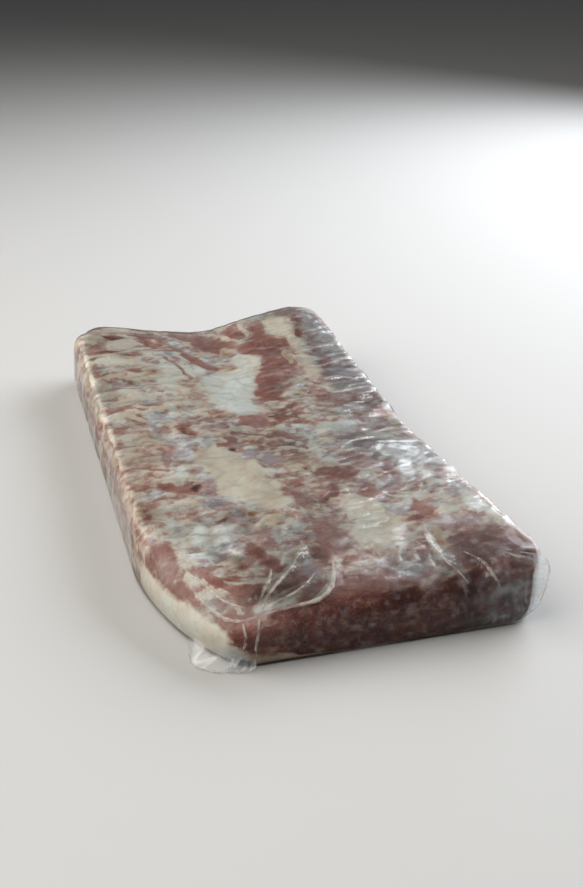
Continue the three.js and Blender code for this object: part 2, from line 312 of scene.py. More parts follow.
# Patches of the rib side in the order they lie on each other. After a kind come its patches: middle x and y, half
# sizes along its own two axes, tone in hundredths and, where it is turned, by how many degrees. A lean tone goes from
# 0, lavender under silverskin, through 30, dull pink, to 100, dark red. A fat tone goes from 0, blue-white membrane,
# through 40, cream, to 100, orange-brown.
PATCHES = (
    # the ribbed left half
    (MIXED, (-92, 110, 42, 170, 24)),
    (BEIGE, (-97, 240, 22, 16, 34), (-72, 74, 9, 8, 6)),
    (LEAN, (-88, 223, 10, 4, 64), (-54, 234, 15, 22, 54, 4), (-73, 63, 7, 6, 46), (-110, 20, 7, 8, 46)),
    (DARK, (-34, 210, 12, 24, 28, 25), (-102, 115, 18, 9, 42, 6), (-102, 68, 14, 6, 38, 4)),
    (FAT, (-73, 56, 6, 3, 85), (-91, 4, 3, 10, 90)),
    (PALE, (-24, 210, 4, 18, 3, 22), (-52, 46, 7, 9, 3), (-75, 40, 9, 16, 2)),
    (DARK, (-58, 14, 10, 10, 60, -10), (-81, 17, 4, 6, 4)),
    (CREAM, (-72, 199, 26, 13, 28, -14), (-108, 84, 14, 7, 30, 4)),
    (LEAN, (-102, 197, 10, 13, 22, 20), (-94, 195, 12, 3.5, 64, 4), (-89, 40, 6, 11, 46, -20)),
    (DARK, (-80, 180, 10, 6, 36, -30), (-43, 186, 9, 10, 2)),
    (FAT, (-82, 212, 15, 6, 26, -8), (-92, 174, 17, 6, 22)),
    (BEIGE, (-76, 108, 16, 12, 10), (-100, -40, 22, 56, 32)),
    (LEAN, (-112, -10, 6, 8, 44), (-82, -43, 3, 14, 18, -5)),
    (PALE, (-67, -20, 7, 36, 0, 2)),
    (DARK, (-94, 154, 19, 7, 10, -6)),
    (LEAN, (-112, 156, 4, 14, 32), (-78, 153, 5, 10, 40, 12)),
    (BEIGE, (-57, 142, 10, 8, 72)),
    (CREAM, (-46, 152, 12, 12, 12)),
    (FAT, (-46, 120, 16, 27, 14)),
    (DARK, (-54, 82, 6, 13, 20)),
    (PALE, (-44, 82, 5, 15, 34)),
    # the blue-white membrane
    (PALE, (-36, 96, 9, 44, 24, 4)),
    (BEIGE, (-36, 108, 4, 20, 34, 8)),
    (FAT, (-2, 108, 22, 18, 4), (10, 106, 20, 20, 6), (-1, 76, 22, 30, 2), (-4, 48, 16, 18, 2, 30),
     (2, 32, 8, 12, 3, 20), (24, 138, 13, 32, 8, -10), (-24, 142, 13, 17, 3)),
    # columns of lean and fat towards the far end
    (LEAN, (-12, 244, 18, 16, 24), (6, 214, 14, 28, 50, 12), (-15, 163, 6, 27, 44, 24)),
    (FAT, (9, 133, 5, 4, 76), (30, 253, 16, 8, 50)),
    (LEAN, (35, 226, 9, 20, 44, 10), (54, 222, 8, 26, 40, -4)),
    (PALE, (-9, 185, 6, 7, 36)),
    (CREAM, (18, 186, 6, 12, 70, 5)),
    (LEAN, (36, 182, 10, 20, 44, 8), (57, 172, 19, 28, 54), (52, 126, 15, 36, 44, -14),
     (32, 84, 11, 32, 50, -12)),
    (FAT, (66, 138, 4, 16, 70, -10), (76, 219, 15, 26, 26, -5), (86, 172, 10, 32, 30), (80, 116, 8, 30, 34, -8)),
    (DARK, (66, 52, 12, 24, 34, -8), (100, 130, 16, 70, 10), (111, 94, 9, 8, 10)),
    (LEAN, (93, 246, 12, 10, 16), (97, 226, 6, 8, 48), (90, 190, 4, 13, 62, -8), (94, 121, 6, 9, 24)),
    (PALE, (35, 207, 5, 9, 12), (110, 228, 5, 16, 0), (111, 178, 8, 40, 4)),
    # the middle
    (BEIGE, (-33, 62, 12, 18, 26)),
    (DARK, (-34, 22, 24, 16, 9, -10)),
    (FAT, (-30, 39, 2.5, 8, 82, -5)),
    (LEAN, (0, 14, 11, 12, 32)),
    (PALE, (-49, -18, 12, 13, 0)),
    (LEAN, (-37, -24, 6, 5, 52), (-26, -21, 6, 7, 50)),
    (DARK, (14, -32, 24, 20, 48, -8), (30, 12, 18, 26, 50, -10)),
    (FAT, (-7, -27, 3, 7, 88)),
    (LEAN, (-18, -48, 6, 9, 4)),
    (PALE, (40, -17, 13, 9, 4)),
    (DARK, (64, -36, 10, 12, 40), (84, -36, 16, 20, 40)),
    (FAT, (68, -14, 13, 12, 2, -20), (94, -37, 6, 7, 10), (73, -43, 4, 4, 12)),
    (LEAN, (82, -54, 10, 8, 50, 20)),
    (FAT, (63, -56, 4, 5, 3, -20)),
    (DARK, (60, -74, 17, 13, 36), (98, 40, 22, 40, 24)),
    (LEAN, (107, 41, 6, 5, 30)),
    (PALE, (93, 62, 12, 6, 0)),
    (BEIGE, (18, -70, 14, 18, 54)),
    (LEAN, (-4, -66, 9, 7, 0)),
    (PALE, (38, -64, 6, 16, 6, -8)),
    (LEAN, (39, -92, 13, 7, 48, -6)),
    # clean fat nearer, and what lies round it
    (FAT, (-46, -54, 17, 25, 31), (-36, -86, 21, 26, 31), (-31, -111, 25, 18, 28, -12),
     (-14, -122, 11, 20, 34, -34)),
    (PALE, (-48, -122, 8, 6, 2), (104, -84, 20, 42, 4), (106, -157, 16, 30, 12)),
    (LEAN, (-29, -36, 4, 3, 95), (83, -97, 6, 15, 58, -28), (111, -123, 6, 6, 50)),
    (DARK, (-61, -82, 5, 20, 4, 4), (68, -126, 10, 20, 14, -25)),
    (FAT, (116, -182, 6, 22, 3)),
    (PALE, (62, -160, 10, 9, 3)),
    (FAT, (40, -154, 15, 18, 26), (41, -190, 20, 26, 25, -6)),
    (PALE, (37, -118, 6, 12, 20)),
    (CREAM, (-80, -68, 11, 7, 12)),
    (LEAN, (-89, -84, 8, 8, 56, -20), (-77, -93, 5, 7, 46, -10), (-69, -96, 2.5, 4, 92)),
    (DARK, (-100, -92, 8, 8, 4)),
    (CREAM, (-75, -111, 9, 9, 26, 20)),
    (DARK, (-63, -119, 8, 10, 8)),
    (BEIGE, (-106, -117, 18, 12, 60)),
    (CREAM, (-94, -119, 12, 7, 20), (-97, -153, 13, 13, 14)),
    (PALE, (-76, -160, 20, 16, 10), (-78, -182, 22, 14, 6)),
    (DARK, (-56, -142, 15, 8, 30, 15), (-43, -151, 7, 7, 2)),
    (FAT, (-37, -143, 4, 6, 92, -10), (-29, -153, 9, 5, 56, 50)),
    (LEAN, (-62, -143, 5, 3, 75, 20), (-37, -176, 8, 9, 36, 20)),
    (CREAM, (-97, -180, 4, 16, 22, -4)),
    (MIXED, (-22, -176, 10, 15, 30)),
    (PALE, (-12, -167, 4, 8, 2)),
    # the near end
    (LEAN, (52, -125, 6, 12, 40, -10), (79, -168, 7, 16, 34, 4), (71, -181, 9, 6, 56), (86, -195, 6, 11, 2),
     (100, -206, 8, 13, 12), (-49, -191, 4.5, 12, 60, 12), (-42, -211, 5, 11, 66, 10)),
    (DARK, (4, -116, 12, 14, 38), (6, -150, 11, 28, 36, -4), (28, -227, 9, 10, 38), (-62, -201, 12, 10, 36)),
    (LEAN, (5, -190, 11, 24, 34), (28, -121, 4, 13, 52, -18), (-91, -201, 9, 6, 44, -20),
     (-84, -214, 9, 6, 52, -20), (-72, -213, 9, 4, 50, -10), (-62, -226, 16, 5, 52, -14),
     (-64, -237, 14, 6.5, 66, -8), (-34, -224, 6, 14, 52, 30), (-38, -238, 11, 5, 62, 30),
     (-74, -250, 14, 8, 42, -30)),
    (FAT, (87, -148, 5, 5, 4), (73, -212, 5, 13, 72), (-62, -236, 5, 1.6, 84, -8), (-34, -247, 4, 4, 80)),
    (LEAN, (85, -219, 8, 10, 66), (-26, -242, 9, 4, 62, 35), (-18, -222, 9, 8, 4), (-9, -206, 6, 12, 58, 10)),
    (DARK, (57, -225, 8, 8, 42)),
    (LEAN, (100, -238, 24, 20, 52), (107, -254, 20, 14, 70), (10, -250, 42, 13, 46)),
    (PALE, (44, -238, 11, 7, 4)),
)

# Streaks that lie on the patches: kind, half width, tone in hundredths, and the plan points they run through
STREAKS = (
    (CREAM, 3, 22, ((-112, 228), (-117, 190), (-118, 120), (-118, 50), (-118, 0))),
    (CREAM, 2.4, 36, ((-104, 249), (-60, 251), (-10, 251), (50, 252), (104, 250))),
    (CREAM, 2.6, 30, ((-120, 238), (-100, 243), (-80, 238), (-66, 228))),
    (FAT, 2.4, 34, ((-126, 176), (-110, 183), (-92, 184), (-80, 174), (-66, 166), (-56, 156))),
    (FAT, 2.2, 36, ((-124, 133), (-106, 139), (-88, 138), (-76, 126), (-66, 110), (-58, 98))),
    (FAT, 2.4, 34, ((-126, 93), (-108, 94), (-92, 99), (-80, 94), (-70, 86))),
    (FAT, 2.4, 30, ((-124, 50), (-108, 52), (-96, 50), (-84, 42))),
    (CREAM, 3, 34, ((-122, 6), (-106, 8), (-94, 2))),
    (LEAN, 2, 28, ((-122, -12), (-106, -10), (-96, -16))),
    (LEAN, 2, 28, ((-120, -52), (-106, -52), (-94, -58), (-84, -62))),
    (LEAN, 2, 28, ((-44, 178), (-38, 160), (-34, 140), (-30, 120))),
    (PALE, 1.6, 10, ((-34, 196), (-30, 180), (-25, 160), (-24, 140))),
    (FAT, 2, 40, ((12, 246), (22, 228), (30, 212), (33, 199))),
    (FAT, 1.8, 40, ((43, 246), (43, 220), (41, 204))),
    (PALE, 2, 20, ((60, 40), (52, 18), (46, -2), (42, -22))),
    (LEAN, 2, 44, ((-20, -4), (-2, -14), (14, -18), (30, -14))),
    (PALE, 1.8, 10, ((8, -44), (22, -48), (36, -60), (48, -64))),
    (PALE, 2, 5, ((32, 0), (36, -24), (36, -44), (38, -60))),
    (PALE, 2, 16, ((-78, -132), (-66, -128), (-54, -134), (-44, -130))),
    (CREAM, 1.6, 30, ((-64, -251), (-52, -239), (-47, -229), (-36, -219), (-27, -209), (-18, -193))),
    (CREAM, 1.5, 35, ((-56, -252), (-43, -242), (-30, -235), (-22, -234))),
    (CREAM, 2, 25, ((-36, -258), (-22, -251), (-11, -238), (2, -219))),
    (CREAM, 1.8, 42, ((-103, -188), (-97, -204), (-90, -213), (-86, -223), (-80, -236), (-72, -248))),
    (CREAM, 1.5, 35, ((-77, -214), (-63, -221), (-48, -227))),
    (PALE, 1.6, 10, ((-10, -130), (-4, -146), (-4, -166), (-8, -184))),
)

# A zone, here and for the film, is its middle x and y, half sizes, an amount in hundredths and, where it is turned,
# by how many degrees. These are painted shade: how far each zone darkens the flesh towards black.
PAINTED_SHADE_ZONES = (
    (112, 100, 24, 180, 34), (76, -46, 26, 34, 34), (16, -34, 28, 34, 16), (-106, -144, 18, 20, 22),
    (-46, -144, 16, 14, 24), (6, -150, 12, 30, 26), (6, -192, 14, 20, 26), (45, 82, 18, 18, 18),
    (76, 16, 18, 18, 18), (108, 84, 20, 28, 46), (46, -96, 18, 32, 18), (-15, -178, 16, 18, 20),
    (-15, -16, 16, 16, 14), (46, 208, 18, 22, 15), (-58, -238, 92, 46, 34, 12), (-104, -196, 18, 30, 30),
    (-14, -220, 22, 44, 32), (-72, -247, 46, 20, 42, -20), (60, -212, 34, 20, 18), (42, -186, 22, 22, 10),
    (24, -250, 80, 26, 60), (106, -246, 30, 28, 60), (90, 250, 40, 16, 28), (-112, 112, 14, 18, 34),
    (74, -48, 18, 16, 56), (-110, -60, 14, 110, 10), (46, -240, 22, 14, 52), (-100, -170, 16, 14, 20),
)


def patch(x, y, at_x, at_y, half_x, half_y, degrees=0, soft=0.36):
    """1 inside a turned ellipse and 0 outside it: the soft step of its own radius across its edge."""
    u, v = turned(x - at_x, y - at_y, degrees)
    return smooth((1 + soft / 2 - np.hypot(u / half_x, v / half_y)) / soft)


def laid(value, zones, x, y, soft=0.9):
    """A value, with each zone's own blended over what lies there already."""
    for ax, ay, hx, hy, percent, *degrees in zones:
        value = mix(value, percent / 100, patch(x, y, ax, ay, hx, hy, *degrees, soft=soft))
    return value


def highest(value, zones, x, y, soft=0.9):
    """At each point the greatest of a value and the zones' own, which fade across their edges."""
    for ax, ay, hx, hy, percent, *degrees in zones:
        value = np.maximum(value, percent / 100 * patch(x, y, ax, ay, hx, hy, *degrees, soft=soft))
    return value


def streak(x, y, path, half_width, steps=50, margin=15):
    """1 on a smooth path in the plan and 0 beside it: the soft step of the distance to it over its half width. Only
    points within the margin of the path's box are looked at."""
    line = curve_through([(*point, 0) for point in path], steps)[:, :2]
    plan = np.stack([x, y], -1)
    close = np.flatnonzero(((plan > line.min(axis=0) - margin) & (plan < line.max(axis=0) + margin)).all(axis=1))
    inside = np.zeros_like(x)
    apart = np.hypot(x[close, None] - line[:, 0], y[close, None] - line[:, 1]).min(axis=1)
    inside[close] = smooth((1.4 - apart / half_width) / 0.8)
    return inside


def rib_side(x, y):
    """The lean and fat of the top. Ground: mottling. The patches and then the streaks are laid on it one after
    another, on a plan that random hills push about by a few millimetres so that no edge is an ellipse's. Fine bands
    cross the left half where the ribs lay, and small hills then mottle it all, less in the clean patches. Returns
    fat, below 0 for lean and above 0 for fat, tone, and how restless the mottling is."""
    plan = flat(x, y)
    wx = x + 3.0 * hills(plan, 19, 1) + 2.0 * hills(plan, 8, 2) + 1.0 * hills(plan, 4, 12)
    wy = y + 3.0 * hills(plan, 21, 3) + 2.0 * hills(plan, 9, 4) + 1.0 * hills(plan, 4, 13)
    fat = 0.05 + 0.45 * hills(plan, (13, 17, 20), 5)
    tone = 0.27 + 0.12 * hills(plan, 30, 7)
    restless = np.ones_like(x)
    for kind, *rows in PATCHES:
        for ax, ay, hx, hy, own_tone, *degrees in rows:
            inside = patch(wx, wy, ax, ay, hx, hy, *degrees, soft=0.6 if abs(kind) > 1 else 1.0)
            fat, restless = mix(fat, kind, inside), mix(restless, UNREST[kind], inside)
            tone = mix(tone, own_tone / 100, patch(wx, wy, ax, ay, hx, hy, *degrees, soft=1.1))
    for kind, half_width, own_tone, path in STREAKS:
        inside = streak(mix(x, wx, 0.6), mix(y, wy, 0.6), path, half_width)
        fat, restless = mix(fat, kind, inside), mix(restless, UNREST[kind], inside)
        tone = mix(tone, own_tone / 100, inside)
    fine_bands = np.sin(2 * pi * (wy + 10 * smooth((x + 110) / 50) + 3 * hills(plan, 30, 14)) / 13)
    ribbed = smooth((-36 - x) / 26) * smooth((y + 110) / 50)
    stripes = np.sin(2 * pi * (0.77 * wx - 0.64 * wy) / 10.5)
    fat = mix(fat, stripes, 0.25 * patch(x, y, -34, -228, 30, 26, 25))
    fat = fat + 0.18 * fine_bands * ribbed * restless
    # round islands of fat in the middle, where the diaphragm was trimmed off
    islands = smooth((hills(plan, (7.5, 8.5, 9), 15) - 0.30) / 0.35) * patch(wx, wy, 24, -18, 66, 62, -20, soft=0.8)
    fat, tone = fat + 2.2 * islands, mix(tone, 0.10, islands * smooth(-fat * 2))
    fat = fat + restless * (0.56 * hills(plan, (12, 7, 9), 8) + 0.72 * hills(plan, (6.4, 4.6, 9), 9))
    tone = tone + restless * (0.12 * hills(plan, 14, 10) + 0.14 * hills(plan, 6, 11))
    return fat, tone, restless


def cut_face(along, height):
    """The layers of a cut wall. height is 0 at the foot and 1 at the top: rind, back fat, two bands of lean with a
    broken line of fat between them, and the membrane of the rib side, all waving with random hills."""
    p = np.stack([along, THICKNESS * height, np.zeros_like(along)], -1)
    h = height + 0.05 * hills(p, (45, 30, 9), 21) + 0.02 * hills(p, (12, 9, 9), 22)
    fat = -1 + 2.0 * hill(h - 0.16, 0.12) + 1.7 * hill(h - 0.55, 0.045) * smooth(0.7 + hills(p, (30, 12, 9), 23))
    fat += 1.5 * hill(h - 0.98, 0.07) + 0.35 * hills(p, (14, 5, 9), 24)
    tone = 0.55 + 0.2 * hill(h - 0.4, 0.15) - 0.25 * smooth((h - 0.8) / 0.2) + 0.12 * hills(p, 16, 25)
    return fat, np.clip(tone, 0, 1)


# The arc of lean at the near left corner: y and the height of its lower and of its upper edge, as shares of the top's
ARC_LOW = ((-256, 0.58), (-249, 0.68), (-237, 0.76), (-222, 0.78), (-211, 0.70), (-192, 0.64), (-165, 0.62))
ARC_HIGH = ((-250, 0.82), (-238, 0.84), (-229, 0.87), (-215, 0.91), (-199, 1.00), (-185, 1.30))


def flesh_of(points, turn, out):
    """Fat, tone, restlessness, rind and painted shade all over the slab. The rib side's patches lie on top and run
    over the shoulder. The near, right and far walls show the layers of a cut face, and the left wall is mottled. The
    cut-off near left corner is fat, under an arc of lean that follows its shoulder, and the near face is dark lean
    over a strip of fat. Rind covers the underside and runs up the foot of every wall. Painted shade fills the
    shade zones, the furrows and the valleys between the film's wrinkles, and more of it lies on the corner and face."""
    x, y, z = points.T
    fat, tone, restless = rib_side(x, y)
    height = z / top_height(x, y)
    wavy = height + 0.03 * hills(points, 14, 30) + 0.02 * hills(points, 6, 38)
    near, right = smooth((-out[:, 1] - 0.55) / 0.3), smooth((out[:, 0] - 0.45) / 0.3)
    far, left = smooth((out[:, 1] - 0.45) / 0.3), smooth((-out[:, 0] - 0.50) / 0.3)
    face_fat, face_tone = cut_face(np.where(np.abs(out[:, 0]) > np.abs(out[:, 1]), y, x), height)
    walls = np.clip(near + right + far, 0, 1)
    fat, tone = mix(fat, face_fat, walls), mix(tone, face_tone, walls)
    p = np.stack([y, z, 0 * z], -1)
    side_fat = 0.10 - 0.8 * hill(height - 0.60, 0.06) * smooth(hills(p, (50, 9, 9), 31) + 0.35)
    side_fat += 0.4 * hills(p, (14, 7, 9), 32) + 0.25 * hills(p, (8, 5, 9), 47)
    fat, tone = mix(fat, side_fat, left), mix(tone, 0.48 + 0.12 * hills(p, 25, 33), left)
    restless = mix(restless, 0.75, np.clip(walls + left, 0, 1))
    # the near left corner: smooth fat below, and the arc of lean on its shoulder
    low, high = (np.interp(y, *zip(*edge)) for edge in (ARC_LOW, ARC_HIGH))
    below = smooth((-y - 150) / 14) * smooth((-70 - x) / 8) * smooth((low - wavy) / 0.05)
    fat, tone = mix(fat, 1.0 + 0.4 * hills(p, 12, 34), below), mix(tone, 0.24 + 0.12 * hills(p, 14, 39), below)
    restless = mix(restless, 0.35, below)
    arc = smooth((-y - 158) / 5) * smooth((-66 - x) / 6) * smooth((wavy - low) / 0.05) * smooth((high - wavy) / 0.05)
    arc *= smooth((-99 - x) / 4 + smooth((-y - 192) / 6) * 9)
    fat = mix(fat, -0.82 + 0.36 * hills(p, (7, 5, 9), 48), arc)
    tone = mix(tone, 0.40 + 0.12 * hills(p, 12, 49), arc)
    # the near face: dark lean from the corner to the right wall, over a strip of fat
    s = np.stack([x, z, 0 * z], -1)
    face = smooth((-out[:, 1] - 0.30) / 0.25) * smooth((x + 84 + 6 * (0.66 - wavy)) / 5)
    strip = 0.34 - 0.36 * smooth((x + 72) / 48)
    over_strip = smooth((wavy - strip) / 0.06)
    upper = smooth((wavy - 0.45) / 0.4)
    dark = 0.94 + 0.12 * hills(s, 20, 36) - 0.12 * upper - 0.26 * smooth((-28 - x) / 26) * mix(0.6, 1, upper)
    lean = -0.70 + 0.30 * hills(s, (12, 6, 9), 35) + 0.42 * hills(s, (5, 3.5, 9), 40)
    fat, tone, restless = (
        mix(value, own, face * over_strip) for value, own in ((fat, lean), (tone, dark), (restless, 0.6))
    )
    # painted shade: the shade zones, deepened in the furrows and in the valleys between the film's wrinkles
    unshaded = 1 - laid(np.zeros_like(x), PAINTED_SHADE_ZONES, x, y, soft=1.0)
    wet = 1 - unshaded * (1 - 0.38 * furrows(points, restless)) * (1 - 0.18 * wrinkles(points)[2])
    # painted shade: more of it on the corner's fat, the arc of lean and the near face
    wet = mix(mix(wet, 0.16, below), 0.42, arc)
    wet = mix(wet, mix(0.42, 0.22 + 0.16 * hill(x - 66, 30), over_strip), face)
    edge = mix(0.09, 0.03, near * smooth((x + 40) / 30))
    rind = smooth((edge - height + 0.02 * hills(p, 30, 37)) / 0.05)
    return fat, tone, restless, np.where(turn < -1, 1, rind), wet


# ---- relief of meat and film

# How far the meat lies below the film
MEAT_BELOW = 1.7


def lumps(points):
    """The slab's own unevenness in millimetres, shared by meat and film: random hills 38 and 16 mm apart, and a
    little more height to each rib's ridge. It fades out at the foot so that the slab lies flat."""
    x, y, z = points.T
    ribs = rib_waves(y) * smooth((-30 - x) / 40) * smooth((y + 60) / 60)
    rise = 0.9 * hills(points, (38, 44, 30), 41) + 0.45 * hills(points, 16, 42) + 1.1 * ribs
    return smooth((z - 5) / 14) * rise


def furrows(points, restless):
    """Furrows of the flesh from 0 to 1 along the lines where random hills pass through nought: long ones across
    the ribbed left half, short ones elsewhere, faint in the clean patches."""
    x, y, _ = points.T
    bent = points + np.outer(4 * hills(flat(x, y), 17, 101), (0.3, 1, 0.3))
    lines = mix(creases(bent, (11, 8, 10), 102), creases(bent, (30, 9, 10), 103), 0.3 + 0.6 * smooth((-20 - x) / 50))
    return lines**1.5 * (0.2 + 0.8 * np.clip(restless, 0, 1))


def meat_relief(points, fat, restless):
    """Lumps, smaller hills 9 and 5 mm apart that are lower in the clean patches, fat standing a little proud of
    lean, a groove along the seams between them, and the furrows, all a little below the film."""
    small = (0.3 + 0.7 * restless) * (0.45 * hills(points, 9, 43) + 0.38 * hills(points, 5, 44))
    step = 0.75 * smooth((fat + 0.4) / 0.8) - 0.25 * hill(fat, 0.25)
    rise = small + step - 0.8 * furrows(points, restless)
    return lumps(points) + smooth((points[:, 2] - 5) / 14) * rise - MEAT_BELOW


# Where creases run out from a corner of the bag: their height, its x and y, how many to a radian, reach and seed
FANS = (
    (0.7, 122, -252, 5.5, 62, 80),
    (0.7, -74, -262, 5.0, 58, 81),
    (0.4, 112, 252, 5.0, 46, 82),
    (0.3, -112, 250, 5.0, 40, 83),
)


def fan_creases(x, y, height, at_x, at_y, spokes, reach, seed):
    """A fan of creases: random crests in the angle round its corner, long in the distance from it, fading over
    reach."""
    distance, angle = np.hypot(x - at_x, y - at_y), np.arctan2(y - at_y, x - at_x)
    p = np.stack([angle * spokes, distance / 34, 0 * x], -1)
    return height * creases(p, 1, seed) ** 1.5 * smooth(distance / 14) * hill(distance, reach)


# Where the film is drawn into wrinkles, and which way they run: middle x and y, half sizes, then how long and how
# far apart the wrinkles are, their turn, and their height
WRINKLED = (
    (104, 150, 24, 110, 34, 9, 8, 0.55),
    (100, 30, 28, 60, 32, 10, 6, 0.70),
    (96, -90, 32, 70, 26, 11, 24, 0.55),
    (44, -240, 30, 22, 16, 8, 70, 0.50),
    (95, -215, 34, 46, 34, 10, 100, 0.55),
    (66, -60, 30, 60, 18, 9, 20, 0.40),
    (-30, 196, 20, 40, 22, 9, 70, 0.35),
    (-60, -165, 44, 40, 16, 8, 40, 0.60),
    (-35, -232, 36, 34, 34, 9, 48, 0.60),
    (-75, -5, 30, 60, 20, 9, 80, 0.30),
    (30, 230, 40, 30, 22, 9, 80, 0.30),
    (-88, 120, 34, 130, 30, 10, 4, 0.35),
)


def wrinkles(points):
    """The wrinkled zones of the film: how high their crests stand in millimetres, the strongest crest at each
    point from 0 to 1, and how deep the point lies in a valley between crests, from 0 to 1."""
    x, y, z = points.T
    height, crest, valley = (np.zeros_like(x) for _ in range(3))
    for i, (*place, long, apart, degrees, tall) in enumerate(WRINKLED):
        u, v = turned(x, y, degrees)
        bent = np.stack([u, v + 4.0 * hills(flat(x, y), 26, 50 + i), z], -1)
        inside, own = patch(x, y, *place, soft=0.8), creases(bent, (long, apart, 30), 60 + i)
        height += tall * own**1.3 * inside
        crest = np.maximum(crest, own * inside)
        valley = np.maximum(valley, smooth((0.3 - own) / 0.3) * inside * tall / 0.6)
    return height, crest, valley


# Where the film's milky white lies on the meat, and how much: haze where the film has lifted, and painted glare
HAZE_AND_GLARE_ZONES = (
    (112, 150, 14, 100, 36), (104, 50, 20, 34, 20), (106, -95, 24, 50, 55), (119, 30, 4, 210, 50),
    (112, -175, 14, 36, 28), (110, -193, 4, 6, 50, 8), (117, -205, 3, 22, 50, 8), (86, -195, 5, 10, 35),
    (44, -238, 16, 9, 26), (28, -232, 3, 12, 70, 20), (60, -215, 50, 34, 14), (14, -214, 9, 20, 45),
    (104, -208, 14, 14, 40), (70, -40, 50, 60, 14), (-70, -20, 8, 30, 15), (74, -12, 12, 12, 30),
    (-45, -165, 30, 24, 14), (-62, -254, 6, 5, 35), (100, -238, 26, 22, 12),
)

# Painted glare in the same milky white along narrow bands: how much, half width, and the plan points they run through
GLARES = (
    (1.4, 5.2, ((95, -67), (104, -77), (104, -86), (95, -95), (89, -108), (84, -124))),
    (1.2, 2.6, ((86, -56), (97, -57), (106, -60), (114, -62))),
    (1, 2.2, ((86, -62), (82, -70), (84, -80), (92, -88))),
    (0.3, 2.6, ((84, 81), (97, 82), (108, 76))),
    (0.5, 2.6, ((80, 49), (93, 48), (104, 52), (114, 56))),
    (0.6, 2, ((84, 20), (98, 16), (112, 22))),
    (0.8, 2, ((110, 242), (112, 226), (113, 206), (113, 180))),
    (0.6, 1.6, ((112, -150), (116, -176), (119, -200), (120, -222))),
    (0.5, 1.6, ((18, -206), (21, -216), (26, -228), (31, -243))),
)

# Where the film is wetted flat onto the meat, and how much less it mirrors there
WETTED = (
    (-98, -210, 28, 66, 75, 20), (8, -240, 30, 34, 70), (122, -244, 18, 34, 65), (116, 3, 11, 16, 85),
    (123, -128, 9, 18, 85), (45, -236, 24, 18, 40),
)

# How slack the film is
SLACK = (
    (-80, 60, 60, 260, 55), (84, 40, 56, 260, 80), (70, -100, 50, 60, 50, -20), (44, -216, 36, 26, 12),
    (100, -215, 40, 50, 50), (0, -240, 34, 20, 35), (5, 90, 28, 54, 25), (-40, -85, 26, 46, 25),
)

# Folds of the film: each one's width and height, and the points on the slab's skin that it runs through
FOLDS = {
    "fold_round_corner": (
        2.4, 0.9, (-97, -216, 35), (-93, -228, 33), (-88, -238, 31), (-83, -247, 30), (-74, -254, 31),
        (-64, -256, 33),
    ),
    "fold_round_corner_inner": (
        1.8, 0.5, (-97, -200, 40), (-90, -213, 38), (-86, -223, 36), (-80, -236, 36), (-70, -248, 37),
    ),
    "fold_under_swirl": (
        2.8, 0.9, (-60, -257, 35), (-42, -257, 38), (-24, -255, 39), (-13, -247, 41), (-6, -230, 43),
        (-2, -214, 44),
    ),
    "fold_inside_swirl": (2.2, 0.6, (-58, -253, 37), (-44, -249, 40), (-30, -241, 41), (-18, -228, 42)),
    "fold_diagonal_long": (2.5, 0.8, (-60, -252, 37), (-46, -234, 40), (-33, -220, 42), (-22, -204, 44)),
    "fold_diagonal_short": (2.5, 0.8, (-61, -248, 37), (-54, -236, 39), (-48, -226, 41), (-44, -214, 42)),
    "fold_down_corner": (1.8, 0.6, (-73, -255, 30), (-73, -261, 25), (-74, -263, 19), (-75, -262, 15)),
    "fold_down_face": (2, 0.7, (-63, -258, 33), (-65, -262, 26), (-67, -264, 18), (-67, -263, 9)),
    "fold_on_corner_fat": (2.2, 0.9, (-110, -206, 20), (-110.6, -209.5, 17.2), (-107.5, -217, 12), (-104, -222, 9)),
    "fold_near_right": (2.2, 0.7, (69, -195, 47), (66, -211, 46), (66, -227, 45), (69, -245, 43), (76, -260, 37)),
    "fold_to_tip": (2.2, 0.6, (82, -236, 47), (89, -252, 46), (93, -260, 41), (97, -263, 33)),
    "fold_at_tip": (1.8, 0.6, (104, -252, 50), (110, -256, 49), (118, -258, 48), (124, -260, 47)),
    "fold_right_edge": (4, 1, (82, 49, 45), (93, 48, 45), (104, 52, 45), (116, 56, 44)),
    "fold_right_edge_far": (3, 0.6, (86, 80, 46), (97, 82, 46), (107, 76, 46), (112, 68, 45)),
    "fold_swirl": (2.2, 0.6, (58, -136, 47), (64, -146, 47), (76, -151, 47), (86, -146, 47), (88, -136, 47)),
}


def clung(path, skin, out, margin=9, reach=2.0):
    """A path laid on the skin: each point goes to the plane through the mean of the skin points near it, weighed
    by a bell of their distances, square to their mean outward direction. Returns it and those directions."""
    close = ((skin > path.min(axis=0) - margin) & (skin < path.max(axis=0) + margin)).all(axis=1)
    apart = np.linalg.norm(path[:, None] - skin[None, close], axis=2)
    weight = hill(apart - apart.min(axis=1, keepdims=True), reach)
    weight /= weight.sum(axis=1, keepdims=True)
    middle, up = weight @ skin[close], unit(weight @ out[close])
    return path + up * ((middle - path) * up).sum(axis=1, keepdims=True), up


def fold_ridges(points, out, steps=60, margin=6):
    """How far the folds lift the film beside them: half their height, falling off as a bell of the distance to
    each path."""
    total = np.zeros(len(points))
    for width, height, *path in FOLDS.values():
        spine, _ = clung(curve_through(path, steps), points, out)
        close = ((points > spine.min(axis=0) - margin) & (points < spine.max(axis=0) + margin)).all(axis=1)
        apart = np.linalg.norm(points[close, None] - spine[None], axis=2).min(axis=1)
        total[close] = np.maximum(total[close], 0.5 * height * hill(apart, 1.2 * width))
    return total


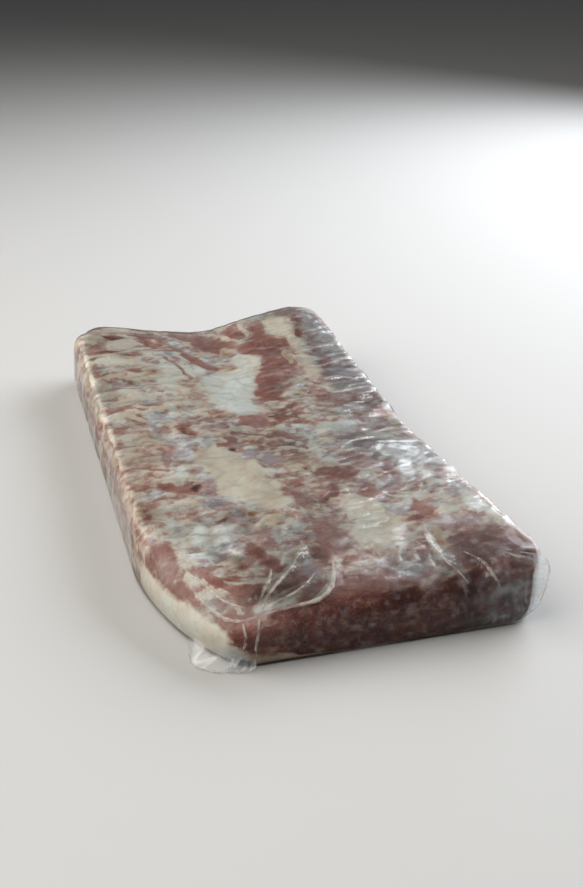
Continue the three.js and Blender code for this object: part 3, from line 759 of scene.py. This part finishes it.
def film_relief(points, out):
    """Lumps, wrinkled zones of long crests, fans of creases from the bag's corners, short creases everywhere, and
    the ridges under the folds."""
    x, y, z = points.T
    rise = 0.15 * hills(points, 9, 43) + wrinkles(points)[0] - 0.3 * furrows(points, np.ones_like(x))
    rise += sum(fan_creases(x, y, *fan) for fan in FANS)
    bent = points + 3 * hills(flat(x, y), 20, 87)[:, None]
    rise += 0.30 * creases(bent, (22, 7.5, 12), 84) * smooth(hills(points, 30, 85) + 0.7)
    rise += 0.20 * creases(bent, (9, 13, 12), 88) * smooth(hills(points, 26, 89) + 0.5)
    upright = np.stack([x + y, z, 0 * z], -1)
    rise += 0.22 * (1 - smooth((out[:, 2] - 0.2) / 0.4)) * creases(upright, (21, 60, 9), 86)
    bent = upright + 2 * hills(points, 12, 98)[:, None]
    rise += 0.30 * smooth((-out[:, 1] - 0.6) / 0.3) * creases(bent, (9, 7, 9), 99)
    return lumps(points) + smooth((z - 3) / 12) * (rise + fold_ridges(points, out))


def film_haze_and_glare(points, out):
    """How much milky white the film shows, partly haze where it has lifted and partly painted glare: the haze and
    glare zones and bands, whitest along the wrinkles' crests as painted highlights and broken up by random hills, a
    little on every wall, and specks and a wrinkled patch of painted glints on the near face."""
    x, y, _ = points.T
    plan = flat(x, y)
    wx, wy = x + 6 * hills(plan, 16, 90), y + 6 * hills(plan, 18, 91)
    veil = highest(0.02 + 0.05 * smooth(hills(points, 22, 92) + 0.2), HAZE_AND_GLARE_ZONES, wx, wy)
    for amount, half_width, path in GLARES:
        veil = np.maximum(veil, amount * streak(mix(x, wx, 0.4), mix(y, wy, 0.4), path, half_width))
    crest = wrinkles(points)[1]
    # painted highlights: more milky white along the wrinkles' crests
    veil = np.maximum(veil, 0.16 * crest * smooth((x + 20) / 80))
    veil = veil * (0.55 + 0.9 * crest + 0.3 * hills(plan, (12, 6, 9), 93) + 0.3 * hills(plan, 5, 95))
    flecks = smooth((hills(plan, (9, 5, 9), 94) - 0.35) / 0.4) * (0.05 + 0.15 * smooth((x + 10) / 70))
    veil = np.maximum(veil, flecks) * (0.15 + 0.85 * smooth((out[:, 2] - 0.3) / 0.4))
    # painted glints: specks and a wrinkled patch of milky white on the near face
    specks = smooth((hills(points, (3.0, 9, 2.4), 96) - 0.35) / 0.3) * smooth((x + 70) / 40)
    wrinkled = hill(x - 108, 22) * (0.3 + 0.9 * creases(points, (7, 9, 5), 97))
    on_near = smooth((-out[:, 1] - 0.6) / 0.2) * np.maximum(0.18 * specks, 0.44 * wrinkled)
    return np.clip(np.maximum(veil, on_near), 0, 1.5)


def film_sheen(points, out):
    """How much the film mirrors: all it can, but less where it is wetted flat onto the meat: on the near face, the
    right shoulder and the wetted zones."""
    right = 0.50 * smooth((out[:, 0] - 0.25) / 0.25) * smooth(out[:, 2] / 0.3)
    return 1 - highest(np.maximum(right, 0.60 * smooth((-out[:, 1] - 0.3) / 0.4)), WETTED, *points.T[:2])


def film_slack(points, out):
    """How crumpled the film is: half everywhere, more or less in its zones, and much on the near face."""
    slack = laid(np.full(len(points), 0.5), SLACK, *points.T[:2])
    return mix(slack, 1.2, smooth((-out[:, 1] - 0.6) / 0.2))


# ---- materials


def linear(hex_colour):
    """An sRGB colour such as 'b4ae9c' as the linear red, green, blue and alpha that the shaders take."""
    c = np.array([int(hex_colour[i : i + 2], 16) for i in (0, 2, 4)]) / 255
    return (*np.where(c <= 0.04045, c / 12.92, ((c + 0.055) / 1.055) ** 2.4), 1.0)


def add(tree, kind, settings=None, out=0, **inputs):
    """A shader node with its settings, and its inputs set to values or linked to other nodes' outputs. An input is
    named with _ for a space, or by its number as in0, in1 and so on. A colour ramp's stops are places and sRGB
    colours. Gives back the output of that number."""
    node = tree.nodes.new("ShaderNode" + kind)
    for key, value in (settings or {}).items():
        if key == "stops":
            for place, colour in value[1:-1]:
                node.color_ramp.elements.new(place)
            for element, (place, colour) in zip(node.color_ramp.elements, value):
                element.position, element.color = place, linear(colour)
        else:
            setattr(node, key, value)
    for key, value in inputs.items():
        numbered = key[:2] == "in" and key[2:].isdigit()
        socket = node.inputs[int(key[2:]) if numbered else key.replace("_", " ")]
        if isinstance(value, bpy.types.NodeSocket):
            tree.links.new(value, socket)
        else:
            socket.default_value = value
    return node.outputs[out] if node.outputs else None


# Settings that several nodes share
LESS, TIMES, TIMES_ADD, SMALLER, LARGER, SIZE = (
    {"operation": how} for how in ("SUBTRACT", "MULTIPLY", "MULTIPLY_ADD", "MINIMUM", "MAXIMUM", "ABSOLUTE")
)
SOFT_STEP = {"interpolation_type": "SMOOTHSTEP"}
COLOURS = {"data_type": "RGBA"}


def new_material(name):
    """An empty material of that name, and the adding of nodes to it."""
    material = bpy.data.materials.new(name)
    material.use_nodes = True
    material.node_tree.nodes.clear()
    return material, partial(add, material.node_tree)


def raw_pork():
    """Raw pork, moist: lean muscle is a dull pinkish brown to dark red with a faint grain and threads of fat about a
    millimetre wide, fat is opaque cream that turns blue-white under membrane and tan where it has dried, and rind
    is a smooth pinkish tan. The film clings to its moisture, so it has little gloss of its own beneath. Painted
    shade darkens the colour towards black where the mesh carries it."""
    material, put = new_material("raw pork, wet")
    names = ("fat", "tone", "restless", "rind", "wet")
    fat, tone, restless, rind, wet = (put("Attribute", {"attribute_name": name}, out=2) for name in names)
    at = put("TexCoord", out=3)
    across, long = (put("Mapping", Vector=at, Scale=(share, 1, 1)) for share in (0.7, 0.35))
    # noises of 5, 9, 8, 1.6, 4 and 20 mm, the first and the muscle fibres drawn out across the slab
    ragged, vein, spot, fibre, fine, cloudy = (
        put("TexNoise", Vector=way, Scale=1 / (size * MM), Detail=detail, Roughness=rough, Distortion=bent)
        for way, size, detail, rough, bent in (
            (across, 5, 5, 0.6, 0.4),
            (at, 9, 3, 0.55, 0.8),
            (at, 8, 4, 0.55, 0),
            (long, 1.6, 2, 0.55, 0),
            (at, 4, 4, 0.55, 0),
            (at, 20, 4, 0.55, 0),
        )
    )
    ragged, vein, spot = (put("Math", LESS, in0=noise, in1=0.5) for noise in (ragged, vein, spot))
    # the edge between lean and fat wanders by a millimetre or two
    wander = put("Math", TIMES_ADD, in0=restless, in1=4.4, in2=0.6)
    edge = put("Math", TIMES_ADD, in0=ragged, in1=wander, in2=fat)
    is_fat = put("MapRange", SOFT_STEP, Value=edge, From_Min=-0.75, From_Max=0.75)
    # lean bears threads of fat, where the noise of 9 mm passes through its middle
    vein = put("Math", SIZE, in0=vein)
    thread = put("MapRange", SOFT_STEP, Value=vein, From_Min=0.03, From_Max=0.0, To_Max=0.35)
    thread = put("Math", TIMES, in0=thread, in1=restless)
    is_fat = put("Math", LARGER, in0=is_fat, in1=thread)
    # the tone drifts with the noise of 8 mm
    drift = put("Math", TIMES_ADD, in0=restless, in1=0.5, in2=0.1)
    lean_tone = put("Math", TIMES_ADD, in0=spot, in1=drift, in2=tone)
    fat_tone = put("Math", TIMES_ADD, in0=spot, in1=0.3, in2=tone)
    reds = ((0, "b5adb3"), (0.2, "b7958c"), (0.4, "a8786c"), (0.6, "8b574d"), (0.8, "633630"), (1, "331615"))
    creams = ((0, "dde4e1"), (0.2, "d8d7cb"), (0.4, "d6ccbb"), (0.6, "cabda4"), (0.8, "b38d70"), (1, "8c5c4a"))
    lean = put("ValToRGB", {"stops": reds}, Fac=lean_tone)
    cream = put("ValToRGB", {"stops": creams}, Fac=fat_tone)
    # muscle fibres 1.6 mm apart, coarser than real ones so that they show, and pink stains of 4 mm in mottled fat
    dark = put("MapRange", SOFT_STEP, Value=fibre, From_Min=0.4, From_Max=0.75, To_Max=0.3)
    lean = put("Mix", COLOURS, out=2, in0=dark, in6=lean, in7=linear("4a1e1a"))
    pink = put("MapRange", SOFT_STEP, Value=fine, From_Min=0.5, From_Max=0.75, To_Max=0.5)
    pink = put("Math", TIMES, in0=pink, in1=restless)
    cream = put("Mix", COLOURS, out=2, in0=pink, in6=cream, in7=linear("a2877b"))
    flesh = put("Mix", COLOURS, out=2, in0=is_fat, in6=lean, in7=cream)
    skin = put("Mix", COLOURS, out=2, in0=cloudy, in6=linear("b78f76"), in7=linear("cfb09a"))
    colour = put("Mix", COLOURS, out=2, in0=rind, in6=flesh, in7=skin)
    # painted shade: the colour is blended towards black by the attribute that holds the painted shade
    colour = put("Mix", COLOURS, out=2, in0=wet, in6=colour, in7=linear("000000"))
    bumps = put("Math", TIMES_ADD, in0=fibre, in1=0.4, in2=fine)
    normal = put("Bump", Strength=0.6, Distance=0.8 * MM, Height=bumps)
    gloss = {"Roughness": 0.45, "IOR": 1.4, "Specular_IOR_Level": 0.15}
    put("OutputMaterial", Surface=put("BsdfPrincipled", Base_Color=colour, Normal=normal, **gloss))
    return material


def shrink_film(name, layers, gloss, crinkle):
    """Shrink film, a clear blown polyethylene laminate: it passes what its surface doesn't mirror, and mirrors by
    the angle as a plastic of IOR 1.5 does, so lamps glint in its wrinkles and it whitens at its edges. Drawn tight
    on moist meat it mirrors with one face only, loose with both. Where it is veiled, folded or scuffed it scatters a
    cool white, which also carries painted glare where that is laid on, and where it is slack it is crumpled more
    finely than its mesh, at 11 and 4 mm."""
    material, put = new_material(name)
    veil, slack, sheen = (put("Attribute", {"attribute_name": name}, out=2) for name in ("veil", "slack", "sheen"))
    at = put("TexCoord", out=3)
    long = put("Mapping", Vector=at, Scale=(0.6, 1, 1))
    crumple = put("TexNoise", Vector=long, Scale=1 / (11 * MM), Detail=2, Roughness=0.55)
    fine = put("TexNoise", Vector=at, Scale=1 / (4 * MM), Detail=2, Roughness=0.55, Distortion=0.6)
    crumple, fine = (put("Math", SIZE, in0=put("Math", LESS, in0=noise, in1=0.5)) for noise in (crumple, fine))
    height = put("Math", TIMES_ADD, in0=fine, in1=0.3, in2=crumple)
    height = put("Math", TIMES, in0=height, in1=slack)
    normal = put("Bump", {"invert": True}, Strength=1.0, Distance=crinkle * MM, Height=height)
    scuffs = put("TexNoise", Vector=at, Scale=1 / (10 * MM), Detail=4, Roughness=0.55)
    scuffs = put("MapRange", SOFT_STEP, Value=scuffs, From_Min=0.3, From_Max=0.75, To_Min=0.2, To_Max=0.7)
    # the milky share: haze where the film has lifted and painted glare where that is laid on, broken up by scuffs
    milky_share = put("Math", SMALLER, in0=put("Math", TIMES, in0=scuffs, in1=veil), in1=0.8)
    clear = put("BsdfTransparent", Color=linear("ffffff"))
    milky = put("BsdfPrincipled", Base_Color=linear("e0e6ea"), Roughness=0.4, IOR=1.5, Normal=normal)
    clear_or_milky = put("MixShader", in0=milky_share, in1=clear, in2=milky)
    mirror = put("BsdfGlossy", Color=linear("ffffff"), Roughness=gloss, Normal=normal)
    faces = put("Math", TIMES, in0=put("Fresnel", IOR=1.5), in1=layers)
    faces = put("Math", SMALLER, in0=put("Math", TIMES, in0=faces, in1=sheen), in1=0.9)
    put("OutputMaterial", Surface=put("MixShader", in0=faces, in1=clear_or_milky, in2=mirror))
    return material


def folded_film():
    """The same film where it is doubled into a tight fold: the stretched crease scatters a soft white and lets
    more than half of what lies beneath show."""
    material, put = new_material("shrink film, folded")
    clear = put("BsdfTransparent", Color=linear("ffffff"))
    white = put("BsdfPrincipled", Base_Color=linear("c6beb5"), Roughness=0.5, IOR=1.5)
    patchy = put("TexNoise", Vector=put("TexCoord", out=3), Scale=1 / (6 * MM), Detail=3, Roughness=0.55)
    share = put("MapRange", SOFT_STEP, Value=patchy, From_Min=0.35, From_Max=0.65, To_Min=0.06, To_Max=0.40)
    put("OutputMaterial", Surface=put("MixShader", in0=share, in1=clear, in2=white))
    return material


PORK = raw_pork()
TIGHT_FILM = shrink_film("shrink film, drawn tight", layers=1.2, gloss=0.22, crinkle=0.9)
LOOSE_FILM = shrink_film("shrink film, loose", layers=0.15, gloss=0.4, crinkle=0.6)
FOLDED_FILM = folded_film()

# ---- meat and tight film


def make_meat():
    """The envelope, moved along its outward directions by the meat's relief."""
    points, faces, turn = slab_surface(*MEAT_GRID)
    out = normals_of(points, faces)
    fat, tone, restless, rind, wet = flesh_of(points, turn, out)
    points = points + out * meat_relief(points, fat, restless)[:, None]
    values = {"fat": fat, "tone": tone, "restless": restless, "rind": rind, "wet": wet}
    new_piece("pork_belly", points, faces, PORK, "pork", **values)


def make_tight_film():
    """The envelope again, moved out by the film's relief, flat where the slab lies on it. Returns its points and
    outward directions, for the folds to cling to."""
    points, faces, _ = slab_surface(*FILM_GRID)
    out = normals_of(points, faces)
    veil, slack, sheen = film_haze_and_glare(points, out), film_slack(points, out), film_sheen(points, out)
    points = points + out * film_relief(points, out)[:, None]
    points[:, 2] = np.maximum(points[:, 2], 0)
    new_piece("bag_film", points, faces, TIGHT_FILM, "film", veil=veil, slack=slack, sheen=sheen)
    return points, out


make_meat()
FILM_SKIN, FILM_OUT = make_tight_film()

# ---- loose film


def tube_piece(name, rings, start, end, material, veil=1.0):
    """Rings of equal count joined in order and closed on a point at each end. If the sum of the faces' triple
    products, which is six times the volume, comes out below nought, all faces are turned over to look outwards."""
    count, around = rings.shape[:2]
    points = np.concatenate([rings.reshape(-1, 3), [start, end]])
    index = np.arange(count * around).reshape(count, around)
    after = np.roll(index, -1, axis=1)
    quads = np.stack([index[:-1], after[:-1], after[1:], index[1:]], -1).reshape(-1, 4)
    first = np.stack([np.full(around, count * around), after[0], index[0]], -1)
    last = np.stack([np.full(around, count * around + 1), index[-1], after[-1]], -1)
    faces = [quads, np.concatenate([first, last])]
    a, b, c = (points[quads[:, k]] - points.mean(0) for k in (0, 1, 2))
    if (a * np.cross(b, c)).sum() < 0:
        faces = [f[:, ::-1] for f in faces]
    ones = np.ones(len(points))
    new_piece(name, points, faces, material, "film", veil=veil * ones, slack=ones, sheen=ones)


def carried(name, spine, up, size, across, rise):
    """A closed profile carried along a spine, and drawn to a point at each end: across it and up from it, times the
    size at each step."""
    ahead = unit(np.gradient(spine, axis=0))
    side = unit(np.cross(ahead, up))
    profile = across[None, :, None] * side[:, None] + rise[None, :, None] * np.cross(side, ahead)[:, None]
    rings = spine[:, None] + size[:, None, None] * profile
    tube_piece(name, rings[1:-1], spine[0], spine[-1], FOLDED_FILM)


def pleat(name, width, height, path, steps=90, around=20, lean=0.35):
    """A fold of doubled film on the skin: a closed profile, flat below and pinched to a crest that leans over,
    carried along the path. Its size rises from nothing and falls back to nothing as the sine of the way along, and
    wavers a little."""
    spine, up = clung(curve_through(path, steps), FILM_SKIN, FILM_OUT)
    way, a = np.linspace(0, 1, steps), np.linspace(0, 2 * pi, around, endpoint=False)
    crest = np.maximum(np.sin(a), 0) ** 1.5
    across = 0.5 * width * np.cos(a) * (1 - 0.6 * crest) + lean * height * crest
    rise = 0.5 * height * crest - 0.2 * np.maximum(-np.sin(a), 0)
    size = np.sin(pi * way) ** 0.45 * (1 + 0.25 * np.sin(9 * way * pi) * np.sin(23 * way + width))
    carried(name, spine, up, size, across, rise)


def hem(name, edge, radius, steps=80, around=10):
    """The welded edge of the bag: a thin round bead along a leaf's outer edge, its size rising and falling as the
    sine of the way along, with a little waver."""
    way, a = np.linspace(0, 1, steps), np.linspace(0, 2 * pi, around, endpoint=False)
    size = radius * np.sin(pi * way) ** 0.3 * (1 + 0.25 * np.sin(31 * way))
    carried(name, curve_through(edge, steps), (0.3, 0.2, 1.0), size, np.cos(a), np.sin(a))


def leaf(name, inner, outer, thickness, ripple, waves, veil=0.12, steps=(60, 24)):
    """A leaf of doubled film between two edges: straight lines from the inner edge to the outer one, rippled
    across by sines that grow towards the outer edge, and given two faces that meet round its rim. Each wave has a
    height, how many go along the leaf and across it, and a phase in radians."""
    n, m = steps
    a, b = curve_through(inner, n)[:, None], curve_through(outer, n)[:, None]
    angle = np.linspace(0, 2 * pi, 2 * m, endpoint=False)
    share = (1 - np.cos(angle)) / 2
    middle = mix(a, b, share[None, :, None])
    face = unit(np.cross(b - a + 0 * middle, np.gradient(middle, axis=0)))
    way = np.linspace(0, 1, n)[:, None]
    wave = sum(h * np.sin(2 * pi * (k * way + f * share) + s) for h, k, f, s in waves)
    offset = ripple * wave * share**0.8 + 0.5 * thickness * np.sin(angle)
    rings = middle + face * offset[..., None]
    tube_piece(name, rings[1:-1], middle[0].mean(0), middle[-1].mean(0), LOOSE_FILM, veil)


for fold, (width, height, *path) in FOLDS.items():
    pleat(fold, width, height, path)

# the bag's two layers stand off the near right corner as one upright leaf
EAR_FOOT, EAR_OUT = (113.0, -255.5), (0.873, -0.488)


def ear_point(out, z):
    """The point of the ear's plane that far out from its foot, at that height."""
    return (EAR_FOOT[0] + EAR_OUT[0] * out, EAR_FOOT[1] + EAR_OUT[1] * out, z)


EAR_EDGE = [ear_point(out, z) for out, z in ((4, 52.5), (15, 51.5), (19.8, 44), (19.3, 31), (14.5, 13), (5, 1.5))]
leaf(
    "corner_ear",
    [ear_point(0, z) for z in (53, 46, 30, 14, 2)],
    EAR_EDGE,
    thickness=0.9,
    ripple=1.0,
    waves=((1.0, 1.5, 0.3, 0.0), (0.5, 4.0, 0.6, 1.0)),
    veil=0.7,
)
hem("ear_hem", EAR_EDGE, 0.55)

# the bag's square corner lies on the table round the meat's rounded one
WEB_EDGE = [(-102, -224, 1), (-105, -237, 0.8), (-104, -250, 0.8), (-95, -259, 0.8), (-84, -263, 0.8), (-70, -267, 1)]
leaf(
    "corner_web",
    [(-100, -222, 7), (-97, -232, 8), (-90, -243, 8), (-80, -253, 8), (-68, -260, 7)],
    WEB_EDGE,
    thickness=0.5,
    ripple=0.7,
    waves=((0.8, 1.5, 0.4, 0.0), (0.5, 4.0, 0.9, 2.0)),
)
hem("web_hem", WEB_EDGE, 0.5)
leaf(
    "corner_crumple",
    [(-81, -253, 9), (-77, -256, 10), (-72, -259, 10), (-67, -261, 8)],
    [(-87, -262, 1.5), (-81, -264, 3.5), (-75, -266, 2), (-67, -267, 2.5)],
    thickness=0.5,
    ripple=1.6,
    waves=((1.0, 1.6, 0.9, 0.0), (0.6, 3.7, 0.6, 1.0)),
    veil=0.2,
)

# the pressed seal along the far end, curled up a little
leaf(
    "far_seal",
    [(-106, 250, 2), (-60, 252, 2.5), (0, 253, 2.5), (60, 252, 2.5), (106, 250, 2)],
    [(-106, 262, 3), (-60, 268, 4), (0, 269, 3), (60, 268, 4.5), (106, 262, 3)],
    thickness=0.6,
    ripple=0.9,
    waves=((0.8, 5.0, 0.3, 0.0), (0.4, 13.0, 0.5, 1.0)),
    steps=(140, 14),
)

# ---- floor, lights and camera

FLOOR_HALF, FLOOR_DROP = 12.0, 0.3 * MM


def stage_floor():
    """A plain pale floor far wider than the slab, a hair below it."""
    material, put = new_material("pale matt floor")
    put("OutputMaterial", Surface=put("BsdfPrincipled", Base_Color=linear("b0b0ae"), Roughness=0.8))
    mesh = bpy.data.meshes.new("floor")
    corners = [(x * FLOOR_HALF, y * FLOOR_HALF, -FLOOR_DROP) for x, y in ((-1, -1), (1, -1), (1, 1), (-1, 1))]
    mesh.from_pydata(corners, [], [(0, 1, 2, 3)])
    mesh.materials.append(material)
    floor = bpy.data.objects.new("floor", mesh)
    bpy.context.scene.collection.objects.link(floor)


def aimed(name, data, place, direction):
    """A lamp or camera at a place in metres, looking in a direction."""
    thing = bpy.data.objects.new(name, data)
    thing.location = place
    thing.rotation_euler = direction.to_track_quat("-Z", "Y").to_euler()
    bpy.context.scene.collection.objects.link(thing)
    return thing


def soft_light(name, place, target, width, height, watts, colour):
    """A rectangular soft box that faces its target."""
    lamp = bpy.data.lights.new(name, "AREA")
    lamp.shape, lamp.size, lamp.size_y = "RECTANGLE", width, height
    lamp.energy, lamp.color = watts, linear(colour)[:3]
    aimed(name, lamp, place, Vector(target) - Vector(place))


stage_floor()
# the lamps: place, what it faces, width and height in metres, power in watts, and colour
soft_light("window_box", (1.36, 0.62, 0.90), (0.05, -0.05, 0.04), 1.9, 1.2, 56, "f3f6fc")
soft_light("front_catch", (-0.30, -1.30, 0.85), (0.02, -0.26, 0.03), 0.2, 0.2, 3, "ffffff")
soft_light("left_scrim", (-1.03, 0.05, 1.23), (0, 0, 0.03), 2.2, 2.0, 42, "fffaf4")

world = bpy.data.worlds.new("studio")
world.use_nodes = True
world.node_tree.nodes["Background"].inputs["Color"].default_value = linear("d4d6d8")
world.node_tree.nodes["Background"].inputs["Strength"].default_value = 0.13
bpy.context.scene.world = world
bpy.context.scene.view_settings.view_transform = "Standard"

# The camera's place and aim in metres, the focal length that its sensor needs, and how far it sees
CAMERA_AT = (-0.2134, -0.8703, 0.4473)
CAMERA_AIM = Vector((0.2437, 0.8730, -0.4226))
FOCAL_MM, SENSOR_MM, FARTHEST = 48.6, 36, 40

lens = bpy.data.cameras.new("camera")
lens.lens, lens.sensor_width, lens.clip_end = FOCAL_MM, SENSOR_MM, FARTHEST
bpy.context.scene.camera = aimed("camera", lens, CAMERA_AT, CAMERA_AIM)
